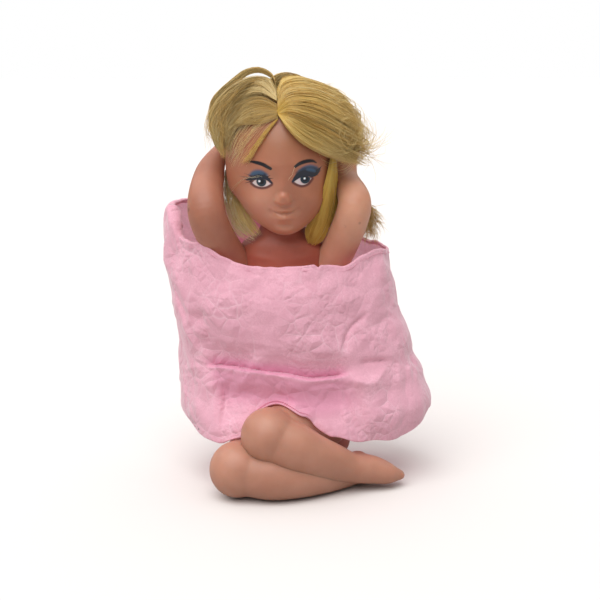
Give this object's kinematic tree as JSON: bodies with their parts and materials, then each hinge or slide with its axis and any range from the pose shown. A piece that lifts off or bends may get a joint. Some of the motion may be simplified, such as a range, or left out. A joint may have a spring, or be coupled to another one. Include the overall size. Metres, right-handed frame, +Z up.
{
  "type": "seated doll in a paper wrap",
  "caption": "Seated side-saddle vinyl doll with rooted hair and raised arms, wound in a crumpled sheet of pink paper; head and arms turn on snap plugs.",
  "frame": {"origin": "centre of the bounding box on the floor that the doll sits on", "axes": "+Z up, the doll faces -Y, +X to the doll's own left"},
  "size_m": [0.0851, 0.065, 0.1318],
  "materials": {
    "vinyl": "satin skin-toned cast vinyl",
    "hair": "silky dark blond doll fibre",
    "paper": "matte crumpled pink tissue paper"
  },
  "bodies": {
    "torso": {"torso_shell": "vinyl", "right_leg_shell": "vinyl", "left_leg_shell": "vinyl", "paper_wrap": "paper"},
    "head": {"head_shell": "vinyl", "hair_back_centre": "hair", "hair_back_left": "hair", "hair_back_right": "hair", "hair_crown_left": "hair", "hair_crown_right": "hair", "hair_right_wisp": "hair", "hair_right_sweep": "hair", "hair_right_drape": "hair", "hair_crown_loop": "hair", "hair_left_sweep_front": "hair", "hair_left_sweep_middle": "hair", "hair_left_sweep_top": "hair", "hair_right_side_lock": "hair", "hair_left_side_lock": "hair", "hair_left_tail": "hair"},
    "right_arm": {"right_arm_shell": "vinyl"},
    "left_arm": {"left_arm_shell": "vinyl"}
  },
  "joints": [
    {"name": "neck_turn", "type": "hinge", "parent": "torso", "child": "head", "pos_m": [-0.0055, 0.004, 0.0822], "axis": [0, 0, 1], "range_deg": [-10, 10]},
    {"name": "right_shoulder", "type": "hinge", "parent": "torso", "child": "right_arm", "pos_m": [-0.0175, 0.003, 0.0669], "axis": [-1, 0, 0], "range_deg": [0, 18]},
    {"name": "left_shoulder", "type": "hinge", "parent": "torso", "child": "left_arm", "pos_m": [0.0065, 0.003, 0.0669], "axis": [-1, 0, 0], "range_deg": [0, 18]}
  ]
}
